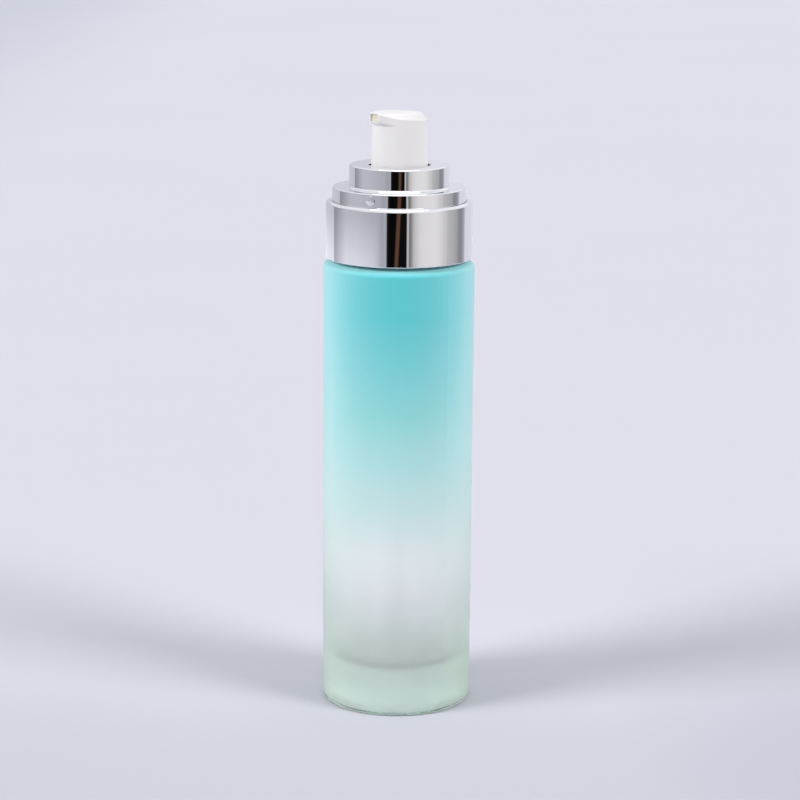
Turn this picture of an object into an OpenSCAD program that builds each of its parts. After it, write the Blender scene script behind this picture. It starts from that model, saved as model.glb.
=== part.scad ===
// Glass cosmetic bottle with a treatment pump, in millimetres.
// Z is up, the bottle's axis is Z, and the foot of the glass stands on Z = 0.

/* [Bottle] */
// Outside diameter of the glass body
bottle_d = 40; // [40:1:44]
// Height of the flat shoulder above the foot
bottle_h = 120.2; // [110:0.2:140]
// Thickness of the glass side wall
wall_t = 3; // [2:0.1:3.2]
// Thickness of the heavy glass floor
floor_t = 10.6; // [8:0.2:13]
// Rounding of the shoulder's outer edge
shoulder_round = 1.5; // [0.8:0.1:2.4]
// Rounding of the foot's outer edge
foot_round = 1.2; // [0.6:0.1:2]

/* [Neck] */
// Height of the neck above the shoulder
neck_h = 14.6; // [13.4:0.2:15.4]
// Diameter of the neck under its thread
neck_d = 21.6; // [21.2:0.1:21.8]
// Diameter over the neck's thread
thread_d = 23.9; // [23.6:0.1:24]
// Bore of the neck
neck_bore_d = 15.2; // [15:0.1:15.6]
// Rise of the thread in one turn
thread_pitch = 3.175; // [3:0.025:3.3]

/* [Collar] */
// Diameter of the wide bright sleeve
sleeve_d = 38.6; // [38.4:0.1:38.8]
// Height of the sleeve
sleeve_h = 15.1; // [14.8:0.1:15.2]
// Diameter of the low step, where an overcap sits
seat_d = 35.2; // [35:0.1:35.4]
// Height of the low step above the sleeve
seat_h = 3.6; // [3.2:0.1:4.2]
// Diameter of the top step
crown_d = 26.4; // [26:0.1:27]
// Height of the top step
crown_h = 5.8; // [5.4:0.1:6.4]
// Diameter of the hole that the pump head goes through
crown_hole_d = 16.2; // [16:0.1:17]
// Number of snap bumps round the low step
bump_count = 3; // [2:1:6]
// Direction of the first snap bump, turned from +X towards +Y
bump_angle = 295; // [0:5:355]

/* [Head] */
// Diameter of the pump head at its skirt
head_d = 14.9; // [14.6:0.1:15.1]
// Height of the spout's top above the collar
head_h = 13.8; // [13.4:0.1:15]
// Reach of the spout's tip from the axis
spout_reach = 8.7; // [8.4:0.1:10]
// Width of the spout at its tip
spout_w = 3.8; // [3.6:0.1:4.4]
// Height of the spout at its tip
spout_h = 2.4; // [2.1:0.1:2.6]
// Direction of the spout, turned from +X towards +Y
spout_angle = 270; // [0:5:355]

/* [Pump] */
// Inside diameter of the pump chamber
chamber_d = 8.4; // [8:0.1:8.6]
// Outside diameter of the stem
stem_d = 4; // [3.8:0.1:4.1]
// Diameter of the inlet ball
ball_d = 4; // [3.8:0.1:4]
// Outside diameter of the dip tube
dip_tube_d = 4.8; // [4.4:0.1:4.8]
// Turns of the return spring
spring_turns = 9; // [7:1:10]

/* [Hidden] */

$fn = 96;
EPS = 0.01;
ARC_STEPS = 8;          // straight pieces in each rounded edge
THREAD_STEPS = 24;      // stations in each turn of a thread
WIRE_STEPS = 20;        // stations in each turn of the spring
WIRE_SIDES = 8;

// Clearances
fit_gap = 0.05;         // pieces that are pressed together
run_gap = 0.15;         // pieces that turn or slide in each other
loose_gap = 0.4;        // pieces that only pass each other

// Bottle
body_r = bottle_d / 2;
inner_r = body_r - wall_t;
neck_r = neck_d / 2;
bore_r = neck_bore_d / 2;
neck_top = bottle_h + neck_h;
shoulder_crown = 6;     // larger rounding from the outer edge up to the flat
shoulder_break = 60;    // where the two roundings meet
shoulder_inner_round = 5;
floor_round = 7;        // rounding where the inside wall meets the floor
shoulder_t = 4.6;       // glass over the inside at the shoulder
punt_r = 15;            // hollow under the foot
punt_h = 0.9;
floor_rise = 0.8;       // how far the inside floor is crowned
neck_edge = 0.6;

// Thread of the neck and of the closure
thread_r = thread_d / 2;
ridge_root = 0.4;       // how deep a ridge's root sits in its wall
ridge_root_h = 2;
ridge_crest_h = 1;
neck_turns = 1.5;
closure_turns = 1.25;
neck_thread_z = bottle_h + 6.4;

// Collar: the sleeve, then the cover that passes up through it
sleeve_r = sleeve_d / 2;
sleeve_z = bottle_h + 0.6;
sleeve_top = sleeve_z + sleeve_h;
sleeve_wall = 0.95;
sleeve_lip_t = 1.2;
sleeve_round = 1;
sleeve_foot_round = 0.25;
skirt_r = sleeve_r - sleeve_wall - fit_gap;
seat_r = seat_d / 2;
seat_relief = 0.35;     // how far the cover is set back behind the sleeve's lip
lip_r = seat_r + fit_gap;
seat_top = sleeve_top + seat_h;
cover_z = bottle_h + 0.8;
cover_inner_r = seat_r - 1;
cover_t = 1.1;
seat_edge = 0.35;
crown_r = crown_d / 2;
crown_top = seat_top + crown_h;
crown_edge = 0.45;
crown_foot_round = 0.6;
crown_hole_r = crown_hole_d / 2;
bump_r = 1.3;           // half its width on the step
bump_rise = 0.2;
bump_root = 0.5;        // how deep it is sunk in the step

// Pump flange stack on the neck
gasket_t = 1;
flange_t = 1.2;
gasket_top = neck_top + gasket_t;
flange_top = gasket_top + flange_t;
closure_inner_r = thread_r + 0.25;
closure_wall = 1.7;
closure_top = seat_top - cover_t;
closure_hole_r = 8.6;
flange_r = closure_inner_r - 0.6;
rib_count = 12;
rib_t = 1.2;

// Pump housing
chamber_r = chamber_d / 2;
chamber_wall = 1.2;
mouth_inner_r = 5.25;
mouth_r = bore_r - loose_gap;
mouth_z = neck_top - 6.8;
cage_z = neck_top - 35.6;
cage_t = 1.5;
ball_room_r = ball_d / 2 + 0.7;
seat_cone_z = cage_z - 5.2;
seat_cone_h = 1.9;
inlet_r = 1.2;
spigot_top = cage_z - 8.2;
spigot_z = spigot_top - 9;
spigot_r = dip_tube_d / 2 + 1.3;
vent_r = 0.4;
vent_z = mouth_z - 1.2;

// Lock ring with its seal, stem, pin and piston
ring_z = mouth_z + 0.1;
seal_r = 3.6;
seal_t = 1.2;
ring_flange_r = 8.4;
ring_flange_t = 0.8;
ring_neck_r = 4.6;
ring_top = flange_top + 2.6;
stem_r = stem_d / 2;
stem_bore_r = 1.1;
stem_shoulder_r = 2.9;
stem_shoulder_z = mouth_z - 1.5;
piston_float = 1;
piston_h = 8.5;
piston_z = stem_shoulder_z - piston_float - piston_h;
piston_waist_r = 3.2;
piston_lip_r = chamber_r - 0.08;
pin_head_r = 3;
pin_head_h = 2;
pin_guide_r = 1.6;
pin_guide_h = 5;
stem_top = crown_top + 5.7;
port_r = 0.5;

// Ball, resting on its cone
ball_r = ball_d / 2;
cone_half_angle = atan((ball_room_r - inlet_r) / seat_cone_h);
ball_seat_gap = 0.05;
ball_z = seat_cone_z - inlet_r / tan(cone_half_angle) + ball_r / sin(cone_half_angle) + ball_seat_gap;

// Spring
wire_r = 0.3;
spring_r = 2.4;
spring_z = cage_z + cage_t + wire_r;
spring_top = piston_z - pin_head_h - wire_r;

// Dip tube
dip_r = dip_tube_d / 2;
dip_bore_r = 1.7;
dip_z = floor_t + 2.1;

// Head
head_r = head_d / 2;
head_top_r = head_r - 0.15;
head_z = crown_top - 1.3;
top_slope = 0.028;      // rise of the top face towards the spout
tip_top = crown_top + head_h;
head_top = tip_top - top_slope * spout_reach;   // at the axis
top_face_r = head_r - 1;
top_face_shift = 0.4;   // the top face lies nearer the spout, so the chamfer is widest at the rear
top_edge = 0.4;
rim_z = head_top - 1.6; // foot of the chamfer at the axis
rim_slope = 0.06;
cap_z = head_top - 3.1;
head_inner_r = head_r - 1.1;
roof_z = head_top - 4;
boss_r = 3.4;
boss_z = crown_top + 1.7;
tip_bottom = tip_top - spout_h;
tip_corner_r = 0.45;
channel_w = spout_w - 0.8;
channel_h = spout_h - 0.65;
channel_z = tip_bottom + (spout_h - channel_h) / 2;
channel_tilt = 6;       // the channel falls towards the axis
insert_depth = 0.5;     // how far the insert is set back in the outlet
insert_t = 1.2;
slit_w = 2;
slit_h = 0.12;

// Points of an arc about [x, z], from angle a0 to angle a1
function arc(x, z, r, a0, a1) =
    [for (i = [0:ARC_STEPS]) let (a = a0 + (a1 - a0) * i / ARC_STEPS) [x + r * cos(a), z + r * sin(a)]];

// A ring with square edges
module ring(r_in, r_out, z0, z1) {
    translate([0, 0, z0]) difference() {
        cylinder(r = r_out, h = z1 - z0);
        translate([0, 0, -1]) cylinder(r = r_in, h = z1 - z0 + 2);
    }
}

// A body of revolution from [r, z] points
module turned(points) {
    rotate_extrude() polygon(points);
}

// The four corners of a ridge's section at station i of n. It fades into its wall at both ends.
function ridge_section(i, n, z0, root_r, crest_r, wall_r) =
    let (
        a = 360 * i / THREAD_STEPS,
        z = z0 + thread_pitch * i / THREAD_STEPS,
        fade = min(1, i / 5, (n - i) / 5),
        start_r = root_r + (wall_r - root_r) * 0.5,
        r = start_r + (crest_r - start_r) * fade,
        corners = [
            [root_r, -ridge_root_h / 2], [r, -ridge_crest_h / 2],
            [r, ridge_crest_h / 2], [root_r, ridge_root_h / 2],
        ]
    )
    [for (c = corners) [c[0] * cos(a), c[0] * sin(a), z + c[1]]];

// A right-handed helical ridge on a wall of radius wall_r
module ridge(turns, z0, root_r, crest_r, wall_r) {
    n = round(turns * THREAD_STEPS);
    points = [for (i = [0:n]) each ridge_section(i, n, z0, root_r, crest_r, wall_r)];
    outward = crest_r > root_r;
    sides = [for (i = [0:n - 1], k = [0:3]) let (m = (k + 1) % 4)
        [i * 4 + k, i * 4 + m, i * 4 + 4 + m, i * 4 + 4 + k]];
    faces = concat(sides, [[3, 2, 1, 0]], [[for (k = [0:3]) n * 4 + k]]);
    flipped = [for (f = faces) [for (k = [len(f) - 1:-1:0]) f[k]]];
    polyhedron(points, outward ? faces : flipped, convexity = 4);
}

// The shoulder of the glass: a small rounding at the body, then a larger one up to the flat
function shoulder_curve() =
    let (step = shoulder_crown - shoulder_round,
         crown_arc = arc(body_r - shoulder_round - step * cos(shoulder_break), bottle_h - shoulder_crown,
                         shoulder_crown, shoulder_break, 90))
    concat(
        arc(body_r - shoulder_round, bottle_h - shoulder_crown + step * sin(shoulder_break),
            shoulder_round, 0, shoulder_break),
        [for (i = [1:ARC_STEPS]) crown_arc[i]]
    );

// Heavy-based glass body with a threaded neck
module glass_bottle() {
    color("paleturquoise") union() {
        turned(concat(
            [[0, punt_h], [punt_r - 2, punt_h], [punt_r, 0]],
            arc(body_r - foot_round, foot_round, foot_round, -90, 0),
            shoulder_curve(),
            [[neck_r, bottle_h], [neck_r, neck_top - neck_edge], [neck_r - neck_edge, neck_top],
             [bore_r + neck_edge, neck_top], [bore_r, neck_top - neck_edge], [bore_r, bottle_h - shoulder_t]],
            arc(inner_r - shoulder_inner_round, bottle_h - shoulder_t - shoulder_inner_round,
                shoulder_inner_round, 90, 0),
            arc(inner_r - floor_round, floor_t + floor_round, floor_round, 0, -90),
            [[0, floor_t + floor_rise]]
        ));
        ridge(neck_turns, neck_thread_z, neck_r - ridge_root, thread_r, neck_r);
    }
}

// Wide bright sleeve that stands over the glass shoulder, with a lip turned in at its top
module shoulder_sleeve() {
    wall_r = sleeve_r - sleeve_wall;
    color("silver") turned(concat(
        [[wall_r, sleeve_z]],
        arc(sleeve_r - sleeve_foot_round, sleeve_z + sleeve_foot_round, sleeve_foot_round, -90, 0),
        arc(sleeve_r - sleeve_round, sleeve_top - sleeve_round, sleeve_round, 0, 90),
        [[lip_r + 0.2, sleeve_top], [lip_r, sleeve_top - 0.2], [lip_r, sleeve_top - sleeve_lip_t],
         [wall_r, sleeve_top - sleeve_lip_t]]
    ));
}

// A snap bump on a step of radius wall_r: a shallow spherical dome with a root in the wall
module bump(wall_r) {
    dome_r = (bump_r * bump_r + bump_rise * bump_rise) / (2 * bump_rise);
    half_angle = asin(bump_r / dome_r);
    translate([wall_r, 0, 0]) rotate([0, 90, 0]) turned(concat(
        [[0, -bump_root], [bump_r, -bump_root]],
        arc(0, bump_rise - dome_r, dome_r, 90 - half_angle, 90)
    ));
}

// Bright cover of the closure: hidden skirt, overcap seat and crown
module collar_cover() {
    lip_z = sleeve_top - sleeve_lip_t;
    crown_inner_r = crown_r - cover_t;
    color("silver") union() {
        turned(concat(
            [[cover_inner_r, cover_z], [skirt_r, cover_z], [skirt_r, lip_z],
             [seat_r - seat_relief, lip_z], [seat_r - seat_relief, sleeve_top], [seat_r, sleeve_top]],
            arc(seat_r - seat_edge, seat_top - seat_edge, seat_edge, 0, 90),
            arc(crown_r + crown_foot_round, seat_top + crown_foot_round, crown_foot_round, 270, 180),
            arc(crown_r - crown_edge, crown_top - crown_edge, crown_edge, 0, 90),
            arc(crown_hole_r + seat_edge, crown_top - seat_edge, seat_edge, 90, 180),
            [[crown_hole_r, crown_top - cover_t], [crown_inner_r, crown_top - cover_t],
             [crown_inner_r, closure_top], [cover_inner_r, closure_top]]
        ));
        for (k = [0:bump_count - 1])
            rotate([0, 0, bump_angle + 360 * k / bump_count])
                translate([0, 0, sleeve_top + seat_h / 2]) bump(seat_r);
    }
}

// Threaded closure that the cover is pressed on
module screw_closure() {
    outer_r = closure_inner_r + closure_wall;
    plate_r = cover_inner_r - fit_gap;
    foot = cover_z + 0.2;
    color("whitesmoke") union() {
        ring(closure_inner_r, outer_r, foot, closure_top - EPS);
        ring(closure_hole_r, plate_r, flange_top, closure_top);
        for (k = [0:rib_count - 1])
            rotate([0, 0, 360 * k / rib_count])
                translate([outer_r - 0.3, -rib_t / 2, foot + 0.8])
                    cube([plate_r - outer_r + 0.2, rib_t, flange_top - foot - 0.8 + EPS]);
        ridge(closure_turns, neck_thread_z - thread_pitch / 2, closure_inner_r + ridge_root,
              neck_r + 0.35, closure_inner_r);
    }
}

// Soft washer between the neck and the pump flange
module neck_gasket() {
    color("white") ring(bore_r + 0.1, flange_r - 0.2, neck_top, gasket_top);
}

// Pump cylinder with its flange, ball seat and tube socket
module pump_housing() {
    chamber_out_r = chamber_r + chamber_wall;
    color("whitesmoke") difference() {
        turned([
            [inlet_r, seat_cone_z], [inlet_r, spigot_top],
            [dip_r + fit_gap, spigot_top], [dip_r + fit_gap, spigot_z], [spigot_r, spigot_z],
            [spigot_r, spigot_top], [chamber_r, spigot_top], [chamber_r, cage_z - 1],
            [chamber_out_r, cage_z + 0.4], [chamber_out_r, mouth_z - 0.8], [mouth_r, mouth_z + 0.6],
            [mouth_r, gasket_top], [flange_r, gasket_top], [flange_r, flange_top],
            [mouth_inner_r, flange_top], [mouth_inner_r, mouth_z], [chamber_r, mouth_z],
            [chamber_r, cage_z], [ball_room_r, cage_z], [ball_room_r, seat_cone_z + seat_cone_h],
        ]);
        translate([0, 0, vent_z]) rotate([90, 0, 0]) cylinder(r = vent_r, h = mouth_r + 1, $fn = 24);
    }
}

// Ring that snaps into the housing's mouth and guides the stem
module lock_ring() {
    color("white") difference() {
        union() {
            translate([0, 0, ring_z]) cylinder(r = mouth_inner_r - fit_gap, h = flange_top - ring_z + EPS);
            translate([0, 0, flange_top]) cylinder(r = ring_flange_r, h = ring_flange_t);
            translate([0, 0, flange_top]) cylinder(r = ring_neck_r, h = ring_top - flange_top);
        }
        translate([0, 0, ring_z - 1]) cylinder(r = stem_r + run_gap, h = ring_top - ring_z + 2);
        translate([0, 0, ring_z - 1]) cylinder(r = seal_r, h = seal_t + 1);
    }
}

// Soft ring in the lock ring's foot. It wipes the stem, and the stem's shoulder closes on it.
module stem_seal() {
    color("white") ring(stem_r + fit_gap, seal_r, ring_z, ring_z + seal_t);
}

// Hollow stem with the shoulder that drives the piston and two side ports
module stem() {
    color("white") difference() {
        union() {
            translate([0, 0, piston_z]) cylinder(r = stem_r, h = stem_top - piston_z);
            translate([0, 0, stem_shoulder_z]) cylinder(r = stem_shoulder_r, h = mouth_z - stem_shoulder_z);
        }
        translate([0, 0, piston_z - 1]) cylinder(r = stem_bore_r, h = stem_top - piston_z + 2);
        translate([-stem_r - 1, 0, piston_z + 5.2]) rotate([0, 90, 0])
            cylinder(r = port_r, h = 2 * stem_r + 2, $fn = 24);
    }
}

// Pin pressed into the stem's foot. Its head is the outlet valve's seat and the spring pushes on it.
module valve_pin() {
    head_z0 = piston_z - pin_head_h;
    color("white") union() {
        translate([0, 0, head_z0]) cylinder(r = pin_head_r, h = pin_head_h);
        translate([0, 0, head_z0 - pin_guide_h]) cylinder(r = pin_guide_r, h = pin_guide_h + EPS);
        translate([0, 0, piston_z - EPS]) cylinder(r = stem_bore_r - fit_gap, h = 4);
    }
}

// Piston with a wiping lip at each end. It floats on the stem between the pin and the shoulder.
module piston() {
    piston_top = piston_z + piston_h;
    color("ivory") turned([
        [stem_r + 0.1, piston_z], [piston_waist_r, piston_z], [piston_lip_r, piston_z - 0.6],
        [piston_lip_r, piston_z + 1.2], [piston_waist_r, piston_z + 2.2],
        [piston_waist_r, piston_top - 2.2], [piston_lip_r, piston_top - 1.2],
        [piston_lip_r, piston_top], [stem_r + 0.1, piston_top],
    ]);
}

// Points round the wire at station i of the spring. The end turns lie closer together.
function coil_height(t) = spring_z + (spring_top - spring_z) * (t - 0.06 * sin(360 * t));
function wire_ring(i, n) =
    let (a = 360 * i / WIRE_STEPS, z = coil_height(i / n))
    [for (k = [0:WIRE_SIDES - 1]) let (
        b = 360 * k / WIRE_SIDES,
        r = spring_r + wire_r * cos(b)
    ) [r * cos(a), r * sin(a), z + wire_r * sin(b)]];

// Return spring between the ball cage and the pin's head
module return_spring() {
    n = spring_turns * WIRE_STEPS;
    points = [for (i = [0:n]) each wire_ring(i, n)];
    sides = [for (i = [0:n - 1], k = [0:WIRE_SIDES - 1]) let (m = (k + 1) % WIRE_SIDES)
        [i * WIRE_SIDES + k, i * WIRE_SIDES + m, (i + 1) * WIRE_SIDES + m, (i + 1) * WIRE_SIDES + k]];
    first = [for (k = [WIRE_SIDES - 1:-1:0]) k];
    last = [for (k = [0:WIRE_SIDES - 1]) n * WIRE_SIDES + k];
    color("lightgray") polyhedron(points, concat(sides, [first], [last]), convexity = 10);
}

// Slotted disc that keeps the ball down and carries the spring
module ball_cage() {
    color("white") translate([0, 0, cage_z]) difference() {
        cylinder(r = chamber_r - fit_gap, h = cage_t);
        for (a = [45:90:315]) rotate([0, 0, a]) translate([1.3, 0, -1])
            cylinder(r = 0.6, h = cage_t + 2, $fn = 32);
    }
}

// Steel ball of the inlet valve
module inlet_ball() {
    color("lightgray") translate([0, 0, ball_z]) sphere(r = ball_r);
}

// Suction tube with its foot cut on the slant
module dip_tube() {
    color("white") difference() {
        ring(dip_bore_r, dip_r, dip_z, spigot_top);
        translate([0, 0, dip_z]) rotate([0, 30, 0]) translate([-10, -10, -20]) cube([20, 20, 20]);
    }
}

// Whatever follows, sheared so that it rises by this slope towards +X
module rising(slope) {
    multmatrix([[1, 0, 0, 0], [0, 1, 0, 0], [slope, 0, 1, 0], [0, 0, 0, 1]]) children();
}

// Upper part of the head: a disc with a chamfer round its top face, drawn out to the spout's tip
module head_cap() {
    tip_x = spout_reach - tip_corner_r;
    hull() {
        rising(top_slope) translate([top_face_shift, 0, 0]) turned(concat(
            [[0, rim_z], [top_face_r - top_edge, rim_z]],
            arc(top_face_r - top_edge, head_top - top_edge, top_edge, 0, 90),
            [[0, head_top]]
        ));
        rising(rim_slope) translate([0, 0, rim_z - 0.5])
            cylinder(r1 = head_top_r - 1, r2 = head_top_r, h = 0.5);
        translate([0, 0, cap_z]) cylinder(r1 = head_top_r, r2 = head_top_r - 1, h = 0.5);
        for (y = [-1, 1], z = [tip_bottom + tip_corner_r, tip_top - tip_corner_r])
            translate([tip_x, y * (spout_w / 2 - tip_corner_r), z])
                rotate([0, 90, 0]) cylinder(r = tip_corner_r, h = tip_corner_r, $fn = 32);
    }
}

// Whatever follows, placed at the outlet: X runs out along the channel, Z = 0 is its floor
module at_outlet() {
    translate([spout_reach, 0, channel_z]) rotate([0, -channel_tilt, 0]) children();
}

// White pump head: skirt, spout, stem socket and the channel from one to the other
module pump_head() {
    wall_top = cap_z + 0.5;
    color("white") rotate([0, 0, spout_angle]) difference() {
        union() {
            turned([[0, head_z], [head_r, head_z], [head_top_r, wall_top], [0, wall_top]]);
            head_cap();
        }
        difference() {
            translate([0, 0, head_z - 1]) cylinder(r = head_inner_r, h = roof_z - head_z + 1);
            translate([0, 0, boss_z]) cylinder(r = boss_r, h = roof_z - boss_z + 1);
        }
        translate([0, 0, boss_z - 1]) cylinder(r = stem_r + 0.06, h = stem_top - boss_z + 1.1);
        translate([0, 0, boss_z]) cylinder(r = stem_bore_r, h = channel_z - boss_z);
        at_outlet() translate([-spout_reach - 1, -channel_w / 2, 0])
            cube([spout_reach + 3, channel_w, channel_h]);
    }
}

// Soft anti-drip insert a little way inside the outlet, with a slit that the product pushes open
module nozzle_insert() {
    w = channel_w - 2 * fit_gap;
    h = channel_h - 2 * fit_gap;
    color("wheat") rotate([0, 0, spout_angle]) at_outlet()
        translate([-insert_depth - insert_t, 0, fit_gap]) difference() {
            translate([0, -w / 2, 0]) cube([insert_t, w, h]);
            translate([-1, -slit_w / 2, (h - slit_h) / 2]) cube([insert_t + 2, slit_w, slit_h]);
        }
}

glass_bottle();
shoulder_sleeve();
collar_cover();
screw_closure();
neck_gasket();
pump_housing();
lock_ring();
stem_seal();
stem();
valve_pin();
piston();
return_spring();
ball_cage();
inlet_ball();
dip_tube();
pump_head();
nozzle_insert();
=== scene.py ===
"""Looks, stage and camera for the pump bottle. Metres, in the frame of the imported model."""

import math

import bpy
from mathutils import Matrix, Vector


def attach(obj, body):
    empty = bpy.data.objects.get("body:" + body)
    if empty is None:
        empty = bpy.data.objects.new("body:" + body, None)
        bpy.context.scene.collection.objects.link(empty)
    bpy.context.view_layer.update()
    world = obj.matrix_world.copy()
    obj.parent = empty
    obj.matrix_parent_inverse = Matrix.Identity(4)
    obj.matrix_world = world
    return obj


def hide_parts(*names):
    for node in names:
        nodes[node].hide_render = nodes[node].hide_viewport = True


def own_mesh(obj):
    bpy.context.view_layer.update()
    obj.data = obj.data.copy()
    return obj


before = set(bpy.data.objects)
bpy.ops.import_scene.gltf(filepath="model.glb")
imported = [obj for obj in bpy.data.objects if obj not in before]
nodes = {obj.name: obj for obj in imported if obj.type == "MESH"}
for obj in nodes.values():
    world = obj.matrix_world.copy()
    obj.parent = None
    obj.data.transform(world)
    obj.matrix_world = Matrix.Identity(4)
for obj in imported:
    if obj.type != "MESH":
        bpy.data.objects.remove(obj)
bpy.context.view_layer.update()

MM = 0.001

# The camera, floor and lights are set out in a studio that is turned about the bottle's axis.
STUDIO_TURN = math.radians(50)
CAMERA_SIDE = (math.sin(STUDIO_TURN), -math.cos(STUDIO_TURN), 0)  # from the bottle, in the row frame

# The bottle, from the CAD.
BODY_RADIUS = 20 * MM
INSIDE_RADIUS = 17 * MM
SHOULDER = 120.2 * MM

# The studio.
SIDES = 96
FLOOR_RADIUS = 6.0
ROOM_HEIGHT = 0.5
ROOM_FOOT = 0.001
REFLECTOR_RADIUS = 0.45
BACKLIGHT_RADIUS = 0.43


# Camera ---------------------------------------------------------------------


def studio(matrix):
    """A place in the studio, as a matrix in the row frame."""
    return Matrix.Rotation(STUDIO_TURN, 4, "Z") @ matrix


def make_camera():
    """The photograph's viewpoint: a long lens a little above the bottle, pitched down."""
    place = Vector((0.56 * MM, -628.2 * MM, 223.5 * MM))
    pitch_down = math.radians(12.689)
    roll = math.radians(0.4)
    data = bpy.data.cameras.new("camera")
    data.sensor_width = 36
    data.lens = 108.46
    data.clip_start, data.clip_end = 0.01, 50
    cam = bpy.data.objects.new("camera", data)
    bpy.context.scene.collection.objects.link(cam)
    look = Matrix.Rotation(math.pi / 2 - pitch_down, 4, "X") @ Matrix.Rotation(roll, 4, "Z")
    cam.matrix_world = studio(Matrix.Translation(place) @ look)
    bpy.context.scene.camera = cam


# Node helpers ---------------------------------------------------------------


class Material:
    """A node material with one Principled shader, and short ways to add what feeds it."""

    def __init__(self, name):
        self.material = bpy.data.materials.new(name)
        self.material.use_nodes = True
        self.tree = self.material.node_tree
        self.shader = self.tree.nodes["Principled BSDF"]

    def node(self, kind, **values):
        made = self.tree.nodes.new(kind)
        for key, value in values.items():
            setattr(made, key, value)
        return made

    def link(self, source, target):
        self.tree.links.new(source, target)

    def set(self, **values):
        """Plain values on the shader's sockets, named with _ for a space."""
        for key, value in values.items():
            self.shader.inputs[key.replace("_", " ")].default_value = value

    def place(self):
        """Object coordinates: the row frame at rest, in metres."""
        return self.node("ShaderNodeTexCoord").outputs["Object"]

    def axes(self):
        """X, Y and Z of the place."""
        split = self.node("ShaderNodeSeparateXYZ")
        self.link(self.place(), split.inputs[0])
        return split.outputs["X"], split.outputs["Y"], split.outputs["Z"]

    def radius(self):
        """Distance from the bottle's axis."""
        x, y, _ = self.axes()
        squares = self.math("ADD", self.math("MULTIPLY", x, x), self.math("MULTIPLY", y, y))
        return self.math("SQRT", squares)

    def noise(self, scale, detail=3, stretch=(1, 1, 1)):
        mapping = self.node("ShaderNodeMapping")
        mapping.inputs["Scale"].default_value = stretch
        self.link(self.place(), mapping.inputs["Vector"])
        made = self.node("ShaderNodeTexNoise")
        made.inputs["Scale"].default_value = scale
        made.inputs["Detail"].default_value = detail
        self.link(mapping.outputs[0], made.inputs["Vector"])
        return made.outputs["Fac"]

    def remap(self, source, low, high, to_low, to_high, smooth=False):
        made = self.node("ShaderNodeMapRange")
        made.interpolation_type = "SMOOTHSTEP" if smooth else "LINEAR"
        for key, value in (("From Min", low), ("From Max", high), ("To Min", to_low), ("To Max", to_high)):
            made.inputs[key].default_value = value
        self.link(source, made.inputs["Value"])
        return made.outputs["Result"]

    def ramp(self, source, stops):
        """Colours along a value: stops are (position, (r, g, b)) in linear light."""
        made = self.node("ShaderNodeValToRGB")
        elements = made.color_ramp.elements
        while len(elements) < len(stops):
            elements.new(0.5)
        for element, (position, colour) in zip(elements, stops):
            element.position = position
            element.color = (*colour, 1)
        self.link(source, made.inputs["Fac"])
        return made.outputs["Color"]

    def math(self, operation, *values):
        made = self.node("ShaderNodeMath", operation=operation)
        for socket, value in zip(made.inputs, values):
            if isinstance(value, (int, float)):
                socket.default_value = value
            else:
                self.link(value, socket)
        return made.outputs[0]

    def mix(self, share, a, b):
        """Blend of two colours."""
        made = self.node("ShaderNodeMix", data_type="RGBA")
        for socket, value in ((made.inputs["Factor"], share), (made.inputs["A"], a), (made.inputs["B"], b)):
            if isinstance(value, (int, float)):
                socket.default_value = value
            elif isinstance(value, tuple):
                socket.default_value = (*value, 1)
            else:
                self.link(value, socket)
        return made.outputs["Result"]

    def mix_value(self, share, a, b):
        """Blend of two values."""
        made = self.node("ShaderNodeMix", data_type="FLOAT")
        sockets = (made.inputs["Factor"], made.inputs["A"], made.inputs["B"])
        for socket, value in zip(sockets, (share, a, b)):
            if isinstance(value, (int, float)):
                socket.default_value = value
            else:
                self.link(value, socket)
        return made.outputs["Result"]

    def bump(self, height, strength, distance):
        made = self.node("ShaderNodeBump")
        made.inputs["Strength"].default_value = strength
        made.inputs["Distance"].default_value = distance
        self.link(height, made.inputs["Height"])
        self.link(made.outputs[0], self.shader.inputs["Normal"])

    def feed(self, name, source):
        self.link(source, self.shader.inputs[name])


def glow(name, colour=(1, 1, 1)):
    """A material that only shines."""
    m = Material(name)
    m.set(Base_Color=(0, 0, 0, 1), Specular_IOR_Level=0, Emission_Color=(*colour, 1))
    return m


def linear(r, g, b):
    """A colour read in sRGB, 0 to 255, as linear light."""
    return tuple(c / 255 / 12.92 if c < 10.3 else ((c / 255 + 0.055) / 1.055) ** 2.4 for c in (r, g, b))


# Materials ------------------------------------------------------------------


# How much the lacquer covers, along the first 120 mm from the foot.
LACQUER_COVER = [
    (0.28, 0.0), (0.37, 0.08), (0.47, 0.36), (0.58, 0.60), (0.69, 0.80), (0.80, 0.91), (0.90, 1.0),
]


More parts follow.
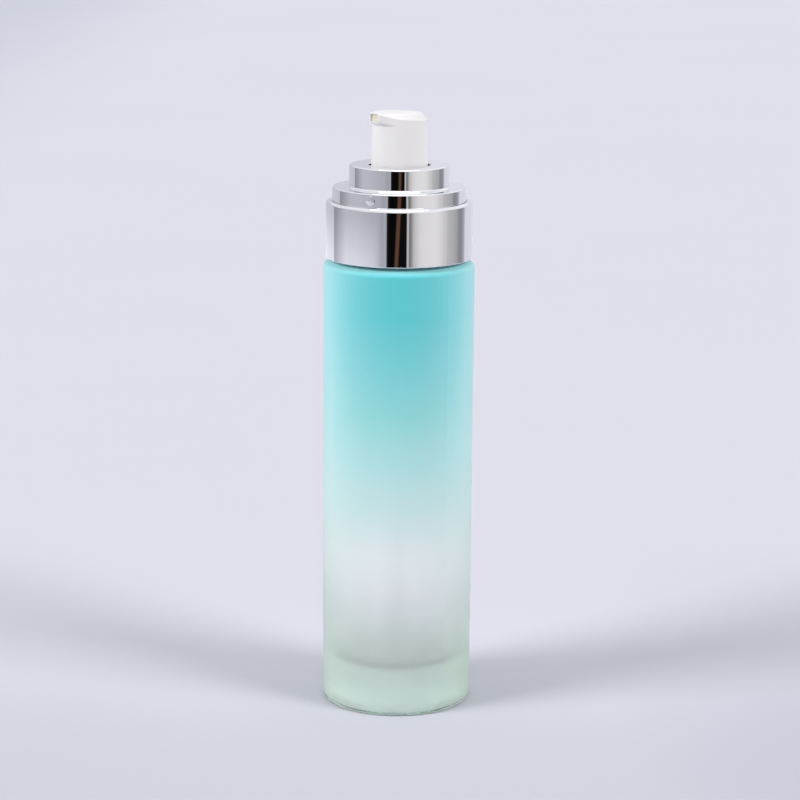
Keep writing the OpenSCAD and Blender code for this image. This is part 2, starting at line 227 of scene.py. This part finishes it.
def satin_glass():
    """Frosted glass with a turquoise lacquer that thins out downwards. The inside is smooth and bare. Its
    colour carries painted light at the grazing edges: a painted sheen on the lacquer and the foot, painted
    shade on the frost.
    """
    m = Material("satin_glass")
    _, _, z = m.axes()
    wall = m.remap(m.radius(), INSIDE_RADIUS + 1.2 * MM, BODY_RADIUS - 0.8 * MM, 0, 1)
    shoulder = m.remap(z, SHOULDER - 3.7 * MM, SHOULDER - 2.7 * MM, 0, 1)
    foot = m.remap(z, 6 * MM, 4 * MM, 0, 1)
    outside = m.math("MAXIMUM", wall, m.math("MAXIMUM", shoulder, foot))
    cloud = m.remap(m.noise(60, detail=2), 0, 1, -2 * MM, 2 * MM)
    height = m.remap(m.math("ADD", z, cloud), 0, 120 * MM, 0, 1)
    cover = m.ramp(height, [(share, (amount,) * 3) for share, amount in LACQUER_COVER])
    lacquer = m.math("MULTIPLY", cover, outside)
    grain = m.noise(2600, detail=2)
    # Painted edge light: the lacquer and the solid foot are painted paler towards their grazing edges (a
    # painted sheen), and the frost is painted darker and greener there (painted shade).
    painted_edge_mask = m.node("ShaderNodeLayerWeight").outputs["Facing"]
    teal = m.mix(grain, linear(80, 195, 198), linear(86, 200, 203))
    teal = m.mix(m.remap(z, 60 * MM, 105 * MM, 1, 0, smooth=True), teal, linear(80, 214, 206))
    teal = m.mix(m.remap(painted_edge_mask, 0, 0.55, 0, 0.4), teal, linear(200, 240, 243))
    frost = m.mix(m.remap(painted_edge_mask, 0.1, 0.8, 0, 1), linear(249, 252, 251), linear(232, 246, 238))
    base = m.mix(m.remap(painted_edge_mask, 0.1, 0.6, 0, 1), linear(226, 238, 232), linear(234, 251, 230))
    frost = m.mix(m.remap(z, 9 * MM, 30 * MM, 1, 0, smooth=True), frost, base)
    m.feed("Base Color", m.mix(lacquer, frost, teal))
    clear = m.remap(z, 24 * MM, 46 * MM, 0.58, 0.34, smooth=True)
    clear = m.math("MULTIPLY", clear, m.math("SUBTRACT", 1, lacquer))
    treated = m.math("MULTIPLY", outside, m.remap(z, 0.6 * MM, 1.3 * MM, 0, 1))  # not the ring it stands on
    m.feed("Transmission Weight", m.mix_value(treated, 1.0, clear))
    satin = m.remap(grain, 0.3, 0.7, 0.36, 0.44)
    m.feed("Roughness", m.math("MULTIPLY", satin, m.remap(treated, 0, 1, 0.02, 1.0)))
    m.set(IOR=1.5, Sheen_Weight=0.6, Sheen_Roughness=0.5, Sheen_Tint=(*linear(228, 248, 248), 1))
    m.bump(m.math("MULTIPLY", m.noise(9000, detail=1), treated), 0.08, 0.02 * MM)
    absorb = m.node("ShaderNodeVolumeAbsorption")
    absorb.inputs["Color"].default_value = (*linear(178, 224, 202), 1)
    absorb.inputs["Density"].default_value = 11.0
    m.link(absorb.outputs[0], m.tree.nodes["Material Output"].inputs["Volume"])
    return m.material


def bright_metal():
    """Mirror plating with a few fine hairlines and a trace of haze."""
    m = Material("bright_metal")
    hairs = m.noise(900, detail=2, stretch=(1, 1, 14))
    m.feed("Roughness", m.remap(hairs, 0.35, 0.75, 0.006, 0.018))
    m.feed("Base Color", m.mix(m.noise(180), linear(239, 239, 243), linear(244, 244, 247)))
    m.set(Metallic=1.0)
    m.bump(m.noise(150, detail=1), 0.02, 0.02 * MM)
    return m.material


def plastic(name, colour, shade, roughness, subsurface=0.0, transmission=0.0, sheen=0.0):
    """Moulded plastic: two close tones, a fine texture and a slightly uneven gloss."""
    m = Material(name)
    grain = m.noise(1400, detail=2)
    m.feed("Base Color", m.mix(m.noise(220), colour, shade))
    m.feed("Roughness", m.remap(grain, 0.3, 0.7, roughness - 0.04, roughness + 0.04))
    m.set(IOR=1.49, Subsurface_Weight=subsurface, Subsurface_Scale=2 * MM, Transmission_Weight=transmission)
    m.set(Subsurface_Radius=(1.0, 0.9, 0.8), Sheen_Weight=sheen, Sheen_Roughness=0.35)
    m.bump(grain, 0.06, 0.02 * MM)
    return m.material


def steel(name, roughness):
    """Stainless steel with drawn streaks."""
    m = Material(name)
    streaks = m.noise(2500, detail=2, stretch=(1, 1, 0.15))
    m.feed("Base Color", m.mix(streaks, linear(196, 196, 200), linear(222, 222, 225)))
    m.feed("Roughness", m.remap(streaks, 0.3, 0.7, roughness * 0.7, roughness * 1.4))
    m.set(Metallic=1.0)
    m.bump(streaks, 0.05, 0.01 * MM)
    return m.material


def dress(material, *names):
    """Gives these CAD nodes one material."""
    for name in names:
        slots = nodes[name].data.materials
        slots.clear()
        slots.append(material)
        for polygon in nodes[name].data.polygons:
            polygon.material_index = 0


def make_spring():
    """The return spring as a copy of its own, carried by the pump body; the CAD one is hidden."""
    made = nodes["return_spring"].copy()
    made.data = made.data.copy()
    made.name = "spring_coil"
    for key in [key for key in made.keys() if key.startswith("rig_")]:
        del made[key]
    bpy.context.scene.collection.objects.link(made)
    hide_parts("return_spring")
    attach(made, "pump_body")
    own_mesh(made)


# Stage ----------------------------------------------------------------------


def mesh_object(name, vertices, faces, material):
    mesh = bpy.data.meshes.new(name)
    mesh.from_pydata(vertices, [], faces)
    mesh.materials.append(material)
    made = bpy.data.objects.new(name, mesh)
    bpy.context.scene.collection.objects.link(made)
    return made


def circle(radius, z):
    angles = (math.tau * i / SIDES for i in range(SIDES))
    return [(radius * math.cos(a), radius * math.sin(a), z) for a in angles]


def disc(name, radius, z, material):
    return mesh_object(name, circle(radius, z), [tuple(range(SIDES))], material)


def make_floor():
    """A wide pale floor with painted shade: darker to the left and towards the camera, and a painted shadow
    in the right corner.
    """
    m = Material("floor")
    x, y, _ = m.axes()
    painted_shade_floor = m.mix(m.noise(3), linear(206, 206, 214), linear(209, 209, 216))
    # Painted shade: the floor colour is darkened far to the left and towards the camera.
    painted_shade_floor = m.mix(m.remap(x, -600 * MM, -250 * MM, 0, 1, smooth=True), linear(193, 195, 205), painted_shade_floor)
    painted_shade_floor = m.mix(m.remap(y, -60 * MM, 60 * MM, 0, 1, smooth=True), linear(195, 196, 204), painted_shade_floor)
    # Painted shadow: a darker patch in the right corner that deepens the shadow falling to the right.
    painted_shadow_corner = m.math("MULTIPLY", m.remap(x, 60 * MM, 200 * MM, 0, 1), m.remap(y, 150 * MM, -60 * MM, 0, 1))
    m.feed("Base Color", m.mix(painted_shadow_corner, painted_shade_floor, linear(179, 176, 190)))
    m.set(Roughness=0.7, Specular_IOR_Level=0.0)
    m.bump(m.noise(1500), 0.02, 0.05 * MM)
    floor = disc("floor", FLOOR_RADIUS, 0, m.material)
    floor.matrix_world = studio(Matrix.Identity(4))


# What the mirror plating sees round the bottle: an angle from the camera's side, positive to the
# right, and the brightness there. It reads as two softboxes with dark frames and a dark room between.
# Listed, but not free of the photograph: the first values were brightnesses read off one row
# of it across the sleeve, in linear light, with the places turned into angles by the law of
# reflection. They were then corrected by how far the render was off at sampled points.
PANORAMA = [
    (-180, 0.88), (-135, 0.80), (-122, 0.78), (-119.5, 0.40), (-112, 0.47), (-90, 0.72), (-70, 0.71),
    (-45, 0.63), (-34, 0.58), (-26, 0.45), (-19.5, 0.50), (-18.2, 0.01), (-13, 0.003),
    (11.5, 0.006), (12.8, 0.60), (14.5, 0.58), (15.8, 0.14), (19, 0.30), (22.5, 0.54), (26, 0.64),
    (33, 0.78), (45, 0.82), (57, 0.84), (66, 0.78), (80, 0.56), (100, 0.44), (106, 0.31), (112, 0.31),
    (118, 0.42), (121.5, 0.55), (124, 0.84), (180, 0.88),
]
SKY = linear(246, 246, 251)
COOL_SIDE = linear(238, 239, 249)
WARM_SIDE = linear(250, 248, 248)
HIGH_WALL = linear(250, 250, 255)
BROWN_STRIPE = linear(92, 66, 51)


def light_card(card, seen_in):
    """A glowing surface that shows up only in reflections or only through the glass."""
    card.visible_camera = card.visible_diffuse = card.visible_shadow = False
    card.visible_glossy = seen_in == "reflections"
    card.visible_transmission = seen_in == "glass"


def tube(name, radius, material):
    """A wall round the stage, turned with the studio."""
    faces = [(i, (i + 1) % SIDES, SIDES + (i + 1) % SIDES, SIDES + i) for i in range(SIDES)]
    made = mesh_object(name, circle(radius, ROOM_FOOT) + circle(radius, ROOM_HEIGHT), faces, material)
    made.matrix_world = studio(Matrix.Identity(4))
    return made


def make_reflector():
    """A wall round the stage that only reflections see."""
    m = glow("reflector")
    x, y, z = m.axes()
    angle = m.math("ARCTAN2", x, m.math("MULTIPLY", y, -1))  # zero at the camera's side
    share = m.remap(angle, -math.pi, math.pi, 0, 1)
    light = m.ramp(share, [((a + 180) / 360, (v,) * 3) for a, v in PANORAMA])

    # The left panel fades upwards.
    fade = m.remap(z, 45 * MM, 70 * MM, 1.35, 0.85)
    left = m.remap(angle, math.radians(-20), math.radians(-40), 0, 1)
    m.feed("Emission Strength", m.math("ADD", 1, m.math("MULTIPLY", left, m.math("SUBTRACT", fade, 1))))

    # The right panel is warmer than the rest of the room.
    warm = m.math("MULTIPLY", m.remap(angle, 0, 0.2, 0, 1), m.remap(angle, 1.9, 1.4, 0, 1))
    tinted = m.node("ShaderNodeMix", data_type="RGBA", blend_type="MULTIPLY")
    tinted.inputs["Factor"].default_value = 1
    m.link(light, tinted.inputs["A"])
    m.link(m.mix(warm, COOL_SIDE, WARM_SIDE), tinted.inputs["B"])

    # A brown stripe leans in the dark part, and the wall is bright above.
    lean = m.remap(z, 45 * MM, 85 * MM, -4.5, 1.5)
    offset = m.math("ABSOLUTE", m.math("SUBTRACT", m.math("MULTIPLY", angle, 180 / math.pi), lean))
    stripe = m.remap(offset, 4.2, 1.2, 0, 1, smooth=True)
    striped = m.mix(stripe, tinted.outputs["Result"], BROWN_STRIPE)
    high = m.remap(z, 270 * MM, 310 * MM, 0, 1, smooth=True)
    m.feed("Emission Color", m.mix(high, striped, HIGH_WALL))
    light_card(tube("reflector", REFLECTOR_RADIUS, m.material), "reflections")


def make_overhead():
    """A ceiling with a softbox in its middle, which only reflections see."""
    m = glow("overhead", SKY)
    m.feed("Emission Strength", m.remap(m.radius(), 150 * MM, 165 * MM, 3.2, 1.0))
    light_card(disc("overhead", REFLECTOR_RADIUS, ROOM_HEIGHT, m.material), "reflections")


def make_backlight():
    """Pale walls that are seen through the glass only, brighter at the sides."""
    m = glow("backlight", SKY)
    x, _, _ = m.axes()
    to_the_right = m.remap(x, 0, BACKLIGHT_RADIUS, 1.15, 2.1)
    to_the_left = m.remap(x, 0, -BACKLIGHT_RADIUS, 1.15, 1.6)
    m.feed("Emission Strength", m.math("MAXIMUM", to_the_right, to_the_left))
    light_card(tube("backlight", BACKLIGHT_RADIUS, m.material), "glass")


def make_sky():
    """A room: pale walls, a dim ceiling, a softbox overhead and a dark front behind the camera."""
    world = bpy.data.worlds.new("world")
    world.use_nodes = True
    tree = world.node_tree
    link = tree.links.new
    sky = tree.nodes["Background"]
    place = tree.nodes.new("ShaderNodeTexCoord")
    split = tree.nodes.new("ShaderNodeSeparateXYZ")
    link(place.outputs["Generated"], split.inputs[0])
    rise = tree.nodes.new("ShaderNodeValToRGB")
    stops = [(0.0, 0.74), (0.45, 0.74), (0.62, 0.14), (0.955, 0.14), (0.972, 4.0)]
    while len(rise.color_ramp.elements) < len(stops):
        rise.color_ramp.elements.new(0.5)
    for element, (position, value) in zip(rise.color_ramp.elements, stops):
        element.position = position
        element.color = (value, value, value, 1)
    link(split.outputs["Z"], rise.inputs["Fac"])
    front = tree.nodes.new("ShaderNodeVectorMath")
    front.operation = "DOT_PRODUCT"
    link(place.outputs["Generated"], front.inputs[0])
    front.inputs[1].default_value = CAMERA_SIDE
    dim = tree.nodes.new("ShaderNodeMapRange")
    for key, value in (("From Min", 0.6), ("From Max", 0.85), ("To Min", 1.0), ("To Max", 0.4)):
        dim.inputs[key].default_value = value
    link(front.outputs["Value"], dim.inputs["Value"])
    tint = tree.nodes.new("ShaderNodeMix")
    tint.data_type = "RGBA"
    tint.blend_type = "MULTIPLY"
    tint.inputs["Factor"].default_value = 1
    link(rise.outputs["Color"], tint.inputs["A"])
    tint.inputs["B"].default_value = (*SKY, 1)
    link(tint.outputs["Result"], sky.inputs["Color"])
    link(dim.outputs["Result"], sky.inputs["Strength"])
    bpy.context.scene.world = world


def make_lamp(name, angle, rise, strength):
    """A soft distant lamp, at an angle from the camera's side and a height in degrees."""
    data = bpy.data.lights.new(name, "SUN")
    data.energy = strength
    data.color = linear(252, 252, 255)
    data.angle = math.radians(26)
    lamp = bpy.data.objects.new(name, data)
    bpy.context.scene.collection.objects.link(lamp)
    turn = Matrix.Rotation(math.radians(angle), 4, "Z") @ Matrix.Rotation(math.radians(90 - rise), 4, "X")
    lamp.matrix_world = studio(turn)
    lamp.visible_glossy = lamp.visible_transmission = False


def make_lights():
    make_reflector()
    make_overhead()
    make_backlight()
    make_sky()
    make_lamp("left_lamp", -66, 30, 2.3)
    make_lamp("right_lamp", 60, 31, 1.95)
    bpy.context.scene.view_settings.view_transform = "Standard"


make_camera()
make_floor()
make_lights()

natural = plastic("natural_plastic", linear(226, 228, 226), linear(234, 236, 234), 0.38, subsurface=0.15)
white = plastic("white_plastic", linear(226, 224, 221), linear(230, 228, 225), 0.33,
                subsurface=0.1, sheen=0.5)
cream = plastic("cream_seal", linear(232, 226, 200), linear(238, 232, 208), 0.5, subsurface=0.2)
seal = plastic("seal_plastic", linear(224, 224, 220), linear(232, 232, 229), 0.6)
clear = plastic("tube_plastic", linear(240, 243, 243), linear(246, 248, 248), 0.15, transmission=0.96)
dress(satin_glass(), "glass_bottle")
dress(bright_metal(), "shoulder_sleeve", "collar_cover")
dress(white, "pump_head")
dress(cream, "nozzle_insert")
dress(natural, "screw_closure", "pump_housing", "lock_ring", "stem", "valve_pin", "ball_cage")
dress(plastic("piston_plastic", linear(236, 232, 214), linear(242, 238, 222), 0.42), "piston")
dress(seal, "neck_gasket", "stem_seal")
dress(clear, "dip_tube")
dress(steel("spring_steel", 0.28), "return_spring")
dress(steel("ball_steel", 0.08), "inlet_ball")
make_spring()
